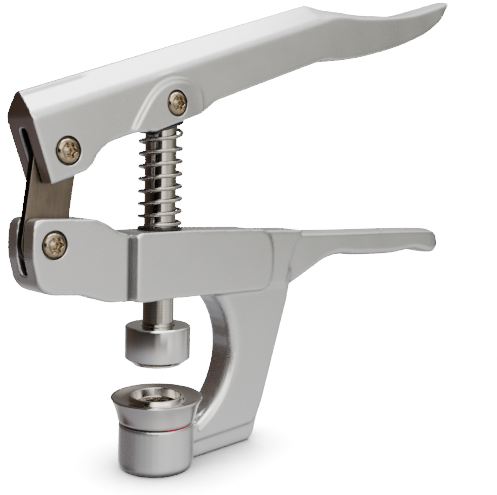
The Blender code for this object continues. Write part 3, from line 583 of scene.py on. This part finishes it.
def soften(mesh, rounds, weight):
    """Softens a mesh: each round moves every point part of the way to the middle of its neighbours."""
    points = points_of(mesh)
    ends = np.empty(len(mesh.edges) * 2, dtype=np.int64)
    mesh.edges.foreach_get("vertices", ends)
    first, second = ends.reshape(-1, 2).T
    count = np.bincount(first, minlength=len(points)) + np.bincount(second, minlength=len(points))
    share = 0.5 * weight(points)
    for _ in range(rounds):
        total = np.empty_like(points)
        for axis in range(3):
            column = points[:, axis]
            total[:, axis] = np.bincount(first, column[second], len(points))
            total[:, axis] += np.bincount(second, column[first], len(points))
        points += (total / count[:, None] - points) * share[:, None]
    mesh.vertices.foreach_set("co", points.ravel())


def casting(name, node, fillings, cutter, body, rounds, voxel, weight, adjust):
    """A die casting: the CAD solid with its machined holes filled, softened, shaped and cut again.

    weight gives each point's share of the softening, and adjust moves the softened points.
    """
    bm = bmesh.new()
    bm.from_mesh(NODES[node].data)
    bmesh.ops.remove_doubles(bm, verts=bm.verts, dist=1e-6)
    bm.transform(Matrix.Scale(1 / MM, 4))
    rough = as_object(join(bm, fillings))
    remesh = rough.modifiers.new("remesh", "REMESH")
    remesh.mode = "VOXEL"
    remesh.voxel_size = voxel
    mesh = result_of(rough)
    soften(mesh, rounds, weight)
    points = points_of(mesh)
    adjust(points)
    mesh.vertices.foreach_set("co", points.ravel())
    made = cut_by(shown("soft", mesh), cutter)
    return dress(name, made, CAST, body, [node], 50)


# Frame


def throat_x(z):
    """Where the round throat's wall is at a height."""
    return THROAT_CENTRE_X + math.sqrt(max(0.0, THROAT_RADIUS**2 - (z - THROAT_CENTRE_Z) ** 2))


def arm_outer_x(z):
    """Where the arm's outer edge is at a height."""
    return ARM_BOTTOM_RIGHT + (ARM_TOP_RIGHT - ARM_BOTTOM_RIGHT) * z / BOSS_BOTTOM_Z


def throat_fillets():
    """Thin layers that round the arm off broadly, from the throat's edge to the web's face."""
    low = POST_HEIGHT - 3.0
    heights = [low + (BOSS_BOTTOM_Z + 1.0 - low) * k / 34 for k in range(35)]
    layers = []
    for k in range(1, 10):
        turn = math.radians(10 * k)
        margin = THROAT_ROUND * (1 - math.cos(turn))
        half = THROAT_FLAT + THROAT_ROUND * math.sin(turn)
        inner = [(throat_x(z) + margin, z) for z in reversed(heights)]
        outer = [(arm_outer_x(z) - 6.0, z) for z in heights]
        layers.append(prism(outer + inner, -half, half))
    return layers


def round_throat(points):
    """Moves the throat's edges onto a broad round between its wall and the web's face."""
    x, y, z = points.T
    right, up = x - THROAT_CENTRE_X, z - THROAT_CENTRE_Z
    reach = np.hypot(right, up)
    middle = THROAT_RADIUS + THROAT_ROUND
    inward = middle - reach
    above = np.abs(y) - THROAT_FLAT
    apart = np.hypot(inward, above)
    corner = (inward > 0) & (above > 0) & (apart > THROAT_ROUND) & (apart < THROAT_ROUND + 2.5)
    corner &= (x > 16) & (z < BOSS_BOTTOM_Z - 1.5) & (z > 12)
    scale = THROAT_ROUND / np.maximum(apart, 1e-6)
    moved = (middle - inward * scale) / reach
    points[corner, 0] = (THROAT_CENTRE_X + right * moved)[corner]
    points[corner, 2] = (THROAT_CENTRE_Z + up * moved)[corner]
    points[corner, 1] = (np.sign(y) * (THROAT_FLAT + above * scale))[corner]


def shape_frame(points):
    press_groove(points)
    round_throat(points)


def groove_fillers():
    """Fills the CAD groove, which is then pressed in with soft edges."""
    left, right = GROOVE_LEFT - 0.8, GROOVE_RIGHT + 0.5
    low, top = BOSS_BOTTOM_Z + 0.6, BOSS_TOP_Z - 0.75
    outline = [(left, low + 0.3), (right, low), (right, top), (left, top + 0.1)]
    return [prism(outline, -BODY_HALF, BODY_HALF)]


def press_groove(points):
    """A soft groove down each side: a long slope from the left and a short wall up to the boss's pad."""
    x, side = points[:, 0], np.abs(points[:, 1])
    into = np.clip((x - GROOVE_LEFT) / 2.6, 0, 1)
    back = np.clip((GROOVE_RIGHT - x) / 1.2, 0, 1)
    reach = np.clip((side - 4.0) / 4.0, 0, 1)
    points[:, 1] -= np.sign(points[:, 1]) * GROOVE_DEPTH * into * back * reach * reach


def frame_softness(points):
    """How much each point is softened: less on the post's rim, more along the arm and under the post."""
    x, y, z = points.T
    weight = np.full(len(points), 0.8)
    on_post = np.hypot(x, y) < POST_RADIUS + 0.6
    weight[on_post & (z > POST_HEIGHT - 2.5) & (z < POST_HEIGHT + 1)] = 0.4
    weight[(x > 20) & (z < BOSS_BOTTOM_Z - 2)] = 1.0
    weight[on_post & (z < 4.0)] = 1.7
    return weight


def make_frame():
    fillings = plug(*CLEVIS, 5.4, SLOT_HALF, BODY_HALF) + throat_fillets() + groove_fillers()
    fillings.append(cylinder(8.4, 68.5, BOSS_TOP_Z))
    low, high = BOSS_BOTTOM_Z, BOSS_TOP_Z
    bore = [(0, 55.0), (12.0, 55.0), (12.0, 62.0), (8.1, low - 0.3), (7.8, low + 0.2)]
    bore += [(7.8, high - 0.4), (8.3, high + 0.1), (8.3, high + 6), (0, high + 6)]
    cutter = join(turned(bore, 96), [pin_cutter(*CLEVIS, BODY_HALF)])
    casting("frame_casting", "lower_frame", fillings, cutter, "frame", 8, 0.5, frame_softness, shape_frame)


# Pivots


def head_rings(top):
    """A domed head's rings with a six-lobed drive recess, from its middle out to its edge."""
    return [
        (0, top - 0.50),
        (0.55, top - 0.60),
        (1.0, top - 0.82),
        (1.4, top - 1.08, 0.05),
        (1.75, top - 1.20, 0.11),
        (2.05, top - 1.12, 0.16),
        (2.25, top - 0.6, 0.17),
        (2.5, top - 0.02, 0.16),
        (2.68, top + 0.08, 0.11),
        (3.0, top + 0.06, 0.03),
        (3.4, top - 0.10),
        (3.75, top - 0.34),
        (4.02, top - 0.64),
        (4.2, top - 0.95),
        (HEAD_RADIUS, top - 1.15),
    ]


def make_pivot(name, x, z, half, body):
    """One pivot: the screw's head towards the viewer, the sleeve nut behind and the washer under the head."""
    floor = half - HEAD_RECESS
    top = half + HEAD_PROUD
    seat = floor + 1.0
    end = -floor + 2.5
    screw = head_rings(top) + [(HEAD_RADIUS, seat + 0.1), (4.15, seat), (1.6, seat), (1.6, end), (0, end)]
    bm = across(turned(screw, 96), x, z, -1)
    finish(name + "_torx", bm, PLATED, body, [name + "_screw"], 40)
    low = floor + GAP
    far = -floor + GAP
    sleeve = head_rings(top) + [(HEAD_RADIUS, low + 0.1), (4.15, low)]
    sleeve += [(SLEEVE_RADIUS, low), (SLEEVE_RADIUS, far), (1.9, far), (1.9, seat - 2.0), (0, seat - 2.0)]
    bm = across(turned(sleeve, 96), x, z, 1)
    finish(name + "_nut", bm, PLATED, body, [name + "_sleeve"], 40)
    ring = rounded([(1.9, low), (4.8, low), (4.8, low + 0.4), (1.9, low + 0.4)], 0.08)
    bm = across(turned(ring, 72), x, z, -1)
    finish(name + "_shim", bm, DARK, body, [name + "_washer"], 40)


# Link


def make_link():
    low, high = Vector(CLEVIS), Vector(LINK_PIN)
    lean = math.atan2(high.x - low.x, high.y - low.y)
    outline = []
    for centre, start in ((high, 0.0), (low, math.pi)):
        for k in range(33):
            angle = start + math.pi * k / 32 - lean
            out = LINK_END_RADIUS * Vector((math.cos(angle), math.sin(angle)))
            outline.append(tuple(centre + out))
    bm = prism(outline, -LINK_HALF, LINK_HALF)
    rims = [e for e in bm.edges if abs(e.verts[0].co.y - e.verts[1].co.y) < 1e-6]
    bmesh.ops.bevel(bm, geom=rims, offset=0.35, segments=3, profile=0.5, affect="EDGES")
    eyes = [across(cylinder(EYE_RADIUS, -4, 4), *centre) for centre in (low, high)]
    mesh = cut_by(as_object(bm), join(eyes[0], eyes[1:]))
    dress("link_bar", mesh, PLATE, "link", ["link_plate"], 40)


# Handle


def handle_frame():
    """The handle's own axes: u along its back, v up from it, with the plunger pin at the origin."""
    move = Matrix.Translation((PLUNGER_PIN[0], 0, PLUNGER_PIN[1]))
    return move @ Matrix.Rotation(-HANDLE_TILT, 4, "Y")


def shape_handle(points):
    """The cheek's bell-shaped edge, in two soft steps that die out in front, and the cut rear corner."""
    turn = np.array(handle_frame().inverted())
    local = points @ turn[:3, :3].T + turn[:3, 3]
    u, v = local[:, 0], local[:, 2]
    side = np.abs(points[:, 1])
    away = np.abs(u + 0.9)
    curved = np.minimum(away, CHEEK_STRAIGHT)
    slope = 2 * CHEEK_BEND * curved
    bell = CHEEK_CROWN - CHEEK_BEND * curved**2 - slope * (away - curved)
    inside = (bell - v) / np.sqrt(1 + slope**2)
    apart = 1.5 * step_up(v, -7.0, 7.0)
    rise = 0.5 * step_up(inside, -0.1, 0.85) + 0.5 * step_up(inside, apart, 0.85)
    rise *= 1 - 0.8 * step_up(u, 0.0, 12.0)
    near = (u > -32) & (u < 30) & (v < 13) & (side > HANDLE_HALF)
    lowered = HANDLE_HALF + np.minimum(side - HANDLE_HALF, (CHEEK_HALF - HANDLE_HALF) * rise)
    points[near, 1] = (np.sign(points[:, 1]) * lowered)[near]
    forward = 1.8 * step_up(v, 11.0, 9.0) * (1 - step_up(u, -59.6, 8.0))
    points += np.outer(forward, turn[0, :3])
    sag = step_up(u, -44.0, 9.0) * (1 - step_up(u, -20.0, 6.0)) * (1 - step_up(v, -4.5, 5.0))
    points -= np.outer(sag, turn[2, :3])


def handle_softness(points):
    return np.ones(len(points))


def make_handle():
    fillings = plug(*LINK_PIN, 5.4, SLOT_HALF, HANDLE_HALF) + plug(*PLUNGER_PIN, 5.4, 6.5, CHEEK_HALF)
    cutter = join(pin_cutter(*LINK_PIN, HANDLE_HALF), [pin_cutter(*PLUNGER_PIN, CHEEK_HALF)])
    soft, shape = handle_softness, shape_handle
    casting("handle_casting", "upper_handle", fillings, cutter, "handle", 6, 0.55, soft, shape)


# Press line


def make_rod():
    low, high = UPPER_DIE_TOP_Z - 9.0, PLUNGER_PIN[1] + PLUNGER_RADIUS + 0.4
    profile = [(0, low), (5.6, low), (6.1, low + 0.5), (6.1, high - 3.0)]
    profile += [(5.9, high - 2.0), (5.1, high - 1.0), (3.0, high), (0, high)]
    mesh = cut_by(as_object(turned(profile, 128)), across(cylinder(4.6, -9, 9), *PLUNGER_PIN))
    dress("plunger_rod", mesh, POLISHED, "plunger", ["plunger_shaft"], 30)


def make_punch():
    """The punch: a rolled nose with a hollow round a middle stud, a step, and a bore for the rod."""
    top, step = UPPER_DIE_TOP_Z, NOSE_Z + 1.2
    profile = [
        (0, NOSE_Z + 0.4),
        (4.8, NOSE_Z + 0.4),
        (5.4, NOSE_Z + 1.2),
        (6.0, NOSE_Z + 2.4),
        (7.15, NOSE_Z + 2.4),
        (8.15, NOSE_Z),
        (9.55, NOSE_Z),
        (9.55, step),
        (10.9, step),
        (12.8, step + 1.4),
        (12.8, top - 0.6),
        (12.2, top),
        (6.7, top),
        (6.3, top - 0.4),
        (6.3, top - 9.3),
        (0, top - 9.3),
    ]
    punch = as_object(turned(rounded(profile, 0.22, loop=False), 144))
    mesh = cut_by(punch, across(cylinder(2.0, 5.0, 16.0, 48), 0.0, top - 4.5, 1))
    dress("punch", mesh, STEEL, "plunger", ["upper_die"], 28)


def make_seat():
    """The flared grommet seat, turned as one profile, and the thin ring in the seam under it."""
    skirt, lip = POST_RADIUS + 0.3, 17.3
    bottom = POST_HEIGHT + 0.75
    foot = bottom + 0.25
    profile = [(0, 9.2), (8.0, 9.2), (8.0, bottom), (skirt - 0.25, bottom), (skirt, foot)]
    for k in range(1, 12):
        share = k / 11
        flare = skirt + (17.9 - skirt) * (0.62 * share + 0.38 * share**3)
        profile.append((flare, foot + (RIM_Z - 0.6 - foot) * share))
    profile += [(17.95, RIM_Z - 0.35), (17.75, RIM_Z - 0.08), (lip, RIM_Z)]
    ring, inner, top = SEAT_RING_RADIUS, SEAT_RECESS_RADIUS, SEAT_RING_Z
    for k in range(1, 7):
        share = k / 6
        radius = lip - (lip - ring - 1.4) * share
        profile.append((radius, RIM_Z - 1.45 * math.sin(math.pi / 2 * share)))
    profile += [(ring + 1.0, RIM_Z - 1.5), (ring + 0.5, RIM_Z - 1.3), (ring + 0.2, RIM_Z - 0.6)]
    profile += [(ring, top - 0.25), (ring - 0.15, top - 0.05), (ring - 0.35, top)]
    profile += [(inner + 0.35, top), (inner + 0.1, top - 0.1), (inner, top - 0.4)]
    profile += [(inner, top - 3.45), (inner - 0.1, top - 3.65), (inner - 0.35, top - 3.7)]
    profile += [(6.5, top - 3.7), (6.25, top - 3.8), (6.2, top - 4.0), (6.2, top - 7.6), (5.8, top - 8.0)]
    profile.append((0, top - 8.0))
    finish("grommet_seat", turned(profile, 160), SEAT_STEEL, "frame", ["lower_die"], 35)
    low, high = POST_HEIGHT + 0.08, POST_HEIGHT + 0.7
    seam = rounded([(10.0, low), (14.3, low), (14.3, high), (10.0, high)], 0.15)
    finish("seam_ring", turned(seam, 128), RUBBER, "frame", ["lower_die_ring"], 50)


def make_washers():
    """The spring's two washers: one flat on the boss, one square to the handle."""
    low, high = SEAT_WASHER
    flat = turned(rounded([(6.5, low), (8.6, low), (8.6, high), (6.5, high)], 0.15), 128)
    finish("seat_washer", flat, DARK, "frame", ["spring_seat_washer"], 50)
    low, high = -CAP_HALF, CAP_HALF
    cap = turned(rounded([(6.85, low), (8.8, low), (8.8, high), (6.85, high)], 0.15), 128)
    cap.transform(Matrix.Translation((0, 0, CAP_Z)) @ Matrix.Rotation(-HANDLE_TILT, 4, "Y"))
    finish("cap_washer", cap, DARK, "spring_cap", ["spring_cap_washer"], 50)


def spring_path(steps):
    """The wire's middle line: a closed start, even turns, and an end that lies under the tilted cap."""
    low = SEAT_WASHER[1] + GAP + WIRE_RADIUS
    high = CAP_Z - (CAP_HALF + GAP + WIRE_RADIUS) / math.cos(HANDLE_TILT)
    flat, closed = SPRING_CLOSED_TURNS, 2.1 * WIRE_RADIUS
    rise = (high - low - closed * flat) / (SPRING_TURNS - flat)
    points = []
    for k in range(round(SPRING_TURNS * steps) + 1):
        turns = k / steps
        angle = 2 * math.pi * turns + math.radians(200)
        height = closed * min(turns, flat) + rise * max(0.0, turns - flat)
        x, y = SPRING_RADIUS * math.cos(angle), SPRING_RADIUS * math.sin(angle)
        lift = math.tan(HANDLE_TILT) * x * step_up(turns, SPRING_TURNS - 0.8, 0.7)
        points.append(Vector((x, y, low + height + lift)))
    return points


def make_spring():
    points = spring_path(44)
    sides = 14
    bm = bmesh.new()
    rings = []
    for i, here in enumerate(points):
        ahead = (points[min(i + 1, len(points) - 1)] - points[max(i - 1, 0)]).normalized()
        outward = Vector((here.x, here.y, 0)).normalized()
        outward = (outward - ahead * outward.dot(ahead)).normalized()
        upward = ahead.cross(outward)
        size = WIRE_RADIUS * (0.86 if i in (0, len(points) - 1) else 1.0)
        ring = []
        for k in range(sides):
            angle = 2 * math.pi * k / sides
            ring.append(bm.verts.new(here + size * (outward * math.cos(angle) + upward * math.sin(angle))))
        rings.append(ring)
    for first, second in zip(rings, rings[1:]):
        for k in range(sides):
            n = (k + 1) % sides
            bm.faces.new((first[k], first[n], second[n], second[k]))
    bm.faces.new(rings[0])
    bm.faces.new(rings[-1])
    spring = finish("spring_coil", bm, WIRE, "frame", ["return_spring"], 50)
    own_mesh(spring)


def dress_kept_nodes():
    """CAD nodes that keep their own shape and get a finished material."""
    looks = {
        "plunger_guide_bush": BRONZE,
        "plunger_pin_bush": BRONZE,
        "link_lower_bush": BRONZE,
        "link_upper_bush": BRONZE,
        "upper_die_set_screw": DARK,
    }
    for node, look in looks.items():
        NODES[node].data.materials.clear()
        NODES[node].data.materials.append(look)


# Studio


# The camera, as seen from the object: degrees round Z from +X, degrees up, and its own roll
CAMERA_AT = (-0.19641, -0.23489, 0.12078)
CAMERA_AZIMUTH = -136.3395
CAMERA_ELEVATION = 6.2354
CAMERA_ROLL = 1.6901


def make_camera():
    data = bpy.data.cameras.new("camera")
    data.lens = 57.67
    data.sensor_width = 36.0
    data.sensor_fit = "HORIZONTAL"
    camera = bpy.data.objects.new("camera", data)
    turn = Matrix.Rotation(math.radians(CAMERA_AZIMUTH + 90), 4, "Z")
    turn = turn @ Matrix.Rotation(math.radians(90 - CAMERA_ELEVATION), 4, "X")
    turn = turn @ Matrix.Rotation(math.radians(CAMERA_ROLL), 4, "Z")
    camera.matrix_world = Matrix.Translation(CAMERA_AT) @ turn
    bpy.context.scene.collection.objects.link(camera)
    bpy.context.scene.camera = camera


def make_floor():
    """A pale disc with a painted contact shadow close to the press. Other surfaces don't mirror it."""
    bm = bmesh.new()
    bmesh.ops.create_circle(bm, cap_ends=True, radius=0.9, segments=96)
    floor = as_object(bm, "floor")
    made, tree, shader = shader_of("floor", (0.86, 0.86, 0.86), 0.7, 0.0)
    # painted shadow: the floor goes near black where the press is close
    shade = maths(tree, "POWER", shelter(tree, 0.036, 12), 6.0)
    tree.links.new(tint(tree, shade, (0.014, 0.014, 0.015), (0.86, 0.86, 0.86)), shader.inputs["Base Color"])
    floor.data.materials.append(made)
    floor.visible_glossy = False
    floor.visible_diffuse = False
    return floor


def area_light(name, at, aim, size, watts):
    data = bpy.data.lights.new(name, "AREA")
    data.shape = "RECTANGLE"
    data.size, data.size_y = size
    data.energy = watts
    light = bpy.data.objects.new(name, data)
    light.location = at
    light.rotation_euler = (Vector(aim) - Vector(at)).to_track_quat("-Z", "Y").to_euler()
    bpy.context.scene.collection.objects.link(light)
    return light


def only_for(light, *receivers):
    """The light reaches these objects alone, and everything still shades them from it."""
    group = bpy.data.collections.new(light.name + "_receivers")
    for obj in receivers:
        group.objects.link(obj)
    light.light_linking.receiver_collection = group


def compass(tree, turn, stops):
    """Colours round the horizon: each stop is (degrees, colour)."""
    ramp = tree.nodes.new("ShaderNodeValToRGB")
    tree.links.new(turn, ramp.inputs["Fac"])
    elements = ramp.color_ramp.elements
    while len(elements) < len(stops):
        elements.new(0.5)
    for element, (degrees, colour) in zip(elements, stops):
        element.position = (degrees + 180) / 360
        element.color = (*colour, 1.0)
    return ramp.outputs["Color"]


# The studio round the press, as its metal mirrors it: (degrees round Z from +X, colour). LEVEL is for
# reflections that run level or up, LOWER for those that run a little down, LOWEST for steeper ones.
LEVEL = [
    (-180, (0.004, 0.003, 0.003)),
    (-150, (0.004, 0.003, 0.003)),
    (-122, (0.05, 0.045, 0.04)),
    (-115, (2.2, 2.16, 2.10)),
    (-100, (1.7, 1.66, 1.60)),
    (-86, (0.74, 0.72, 0.67)),
    (-62, (0.72, 0.71, 0.66)),
    (-50, (0.51, 0.505, 0.455)),
    (-40, (0.335, 0.335, 0.29)),
    (-30, (0.20, 0.20, 0.165)),
    (-14, (0.10, 0.10, 0.09)),
    (40, (0.20, 0.195, 0.185)),
    (85, (0.10, 0.085, 0.075)),
    (118, (0.060, 0.035, 0.024)),
    (146, (0.045, 0.028, 0.020)),
    (180, (0.018, 0.015, 0.013)),
]
LOWER = [
    (-180, (0.075, 0.069, 0.066)),
    (-141, (0.10, 0.092, 0.09)),
    (-132, (0.40, 0.375, 0.37)),
    (-99, (0.42, 0.40, 0.39)),
    (-90, (1.45, 1.42, 1.39)),
    (-82, (1.25, 1.23, 1.21)),
    (-72, (0.84, 0.83, 0.82)),
    (-62, (1.02, 1.01, 0.99)),
    (-46, (0.81, 0.81, 0.80)),
    (-30, (0.46, 0.46, 0.45)),
    (-11, (0.66, 0.66, 0.65)),
    (-1, (0.05, 0.05, 0.046)),
    (14, (0.05, 0.05, 0.046)),
    (24, (0.62, 0.62, 0.61)),
    (72, (0.56, 0.56, 0.55)),
    (94, (0.09, 0.070, 0.058)),
    (150, (0.055, 0.042, 0.036)),
    (180, (0.055, 0.050, 0.047)),
]
LOWEST = [
    (-180, (0.41, 0.405, 0.43)),
    (-150, (0.62, 0.62, 0.63)),
    (-121, (0.98, 0.98, 0.98)),
    (-103, (1.04, 1.04, 1.04)),
    (-74, (0.84, 0.84, 0.85)),
    (-50, (0.90, 0.90, 0.92)),
    (-38, (0.76, 0.76, 0.78)),
    (-6, (0.60, 0.60, 0.62)),
    (6, (0.16, 0.15, 0.145)),
    (16, (0.14, 0.13, 0.125)),
    (26, (0.70, 0.70, 0.71)),
    (74, (0.62, 0.62, 0.63)),
    (94, (0.23, 0.22, 0.23)),
    (143, (0.29, 0.28, 0.31)),
    (180, (0.41, 0.405, 0.43)),
]


def studio_walls(tree, height, turn):
    """The walls by height, with a grey sheet below, a brown patch behind and a softbox in front."""
    level, lower, lowest = (compass(tree, turn, stops) for stops in (LEVEL, LOWER, LOWEST))
    sky = tint(tree, spread(tree, height, 1.0, 0.0, -0.20, -0.05), level, lower)
    sky = tint(tree, spread(tree, height, 1.0, 0.0, -0.32, -0.22), sky, lowest)
    sky = tint(tree, spread(tree, height, 0.6, 0.0, -0.85, -0.5), sky, (0.30, 0.31, 0.35))
    patch = window(tree, turn, (0.78, 0.83), (0.94, 0.98))
    patch = product(tree, patch, window(tree, height, (-0.64, -0.54), (-0.42, -0.36)))
    sky = tint(tree, patch, sky, (0.065, 0.036, 0.024))
    box = window(tree, turn, (0.06, 0.12), (0.27, 0.33))
    box = product(tree, box, spread(tree, height, 0.0, 1.0, 0.16, 0.30))
    return tint(tree, box, sky, (3.6, 3.55, 3.45))


def make_world():
    """What the metal mirrors all round, a bright top in front, and plain white behind the picture."""
    world = bpy.data.worlds.new("studio")
    bpy.context.scene.world = world
    world.use_nodes = True
    tree = world.node_tree
    mirrored = tree.nodes["Background"]
    x, y, height = parts_of(tree, tree.nodes.new("ShaderNodeTexCoord").outputs["Generated"])
    turn = spread(tree, maths(tree, "ARCTAN2", y, x), 0.0, 1.0, -math.pi, math.pi)
    sky = studio_walls(tree, height, turn)
    front = maths(tree, "ADD", maths(tree, "MULTIPLY", x, 0.77), maths(tree, "MULTIPLY", y, -0.64))
    lift = product(tree, spread(tree, height, 0.0, 1.0, 0.25, 0.7), spread(tree, front, 0.0, 1.0, 0.0, 0.3))
    top = tint(tree, spread(tree, height, 0.0, 1.0, 0.74, 0.90), (1.25, 1.25, 1.26), (0.66, 0.66, 0.66))
    tree.links.new(tint(tree, lift, sky, top), mirrored.inputs["Color"])
    mirrored.inputs["Strength"].default_value = 1.5
    seen = tree.nodes.new("ShaderNodeBackground")
    seen.inputs["Color"].default_value = (1.0, 1.0, 1.0, 1.0)
    seen.inputs["Strength"].default_value = 40.0
    blend = tree.nodes.new("ShaderNodeMixShader")
    tree.links.new(tree.nodes.new("ShaderNodeLightPath").outputs["Is Camera Ray"], blend.inputs[0])
    tree.links.new(mirrored.outputs[0], blend.inputs[1])
    tree.links.new(seen.outputs[0], blend.inputs[2])
    tree.links.new(blend.outputs[0], tree.nodes["World Output"].inputs["Surface"])


make_camera()
floor = make_floor()
make_world()
area_light("overhead", (0.05, -0.05, 0.75), (0.05, 0.0, 0.05), (0.7, 0.5), 8.0)
only_for(area_light("floor_light", (0.0, 0.0, 1.6), (0.0, 0.0, 0.0), (3.4, 3.4), 3000.0), floor)
make_frame()
make_handle()
make_pivot("clevis_pin", *CLEVIS, BODY_HALF, "frame")
make_pivot("link_pin", *LINK_PIN, HANDLE_HALF, "handle")
make_pivot("plunger_pin", *PLUNGER_PIN, CHEEK_HALF, "handle")
make_link()
make_rod()
make_punch()
make_seat()
make_washers()
make_spring()
dress_kept_nodes()
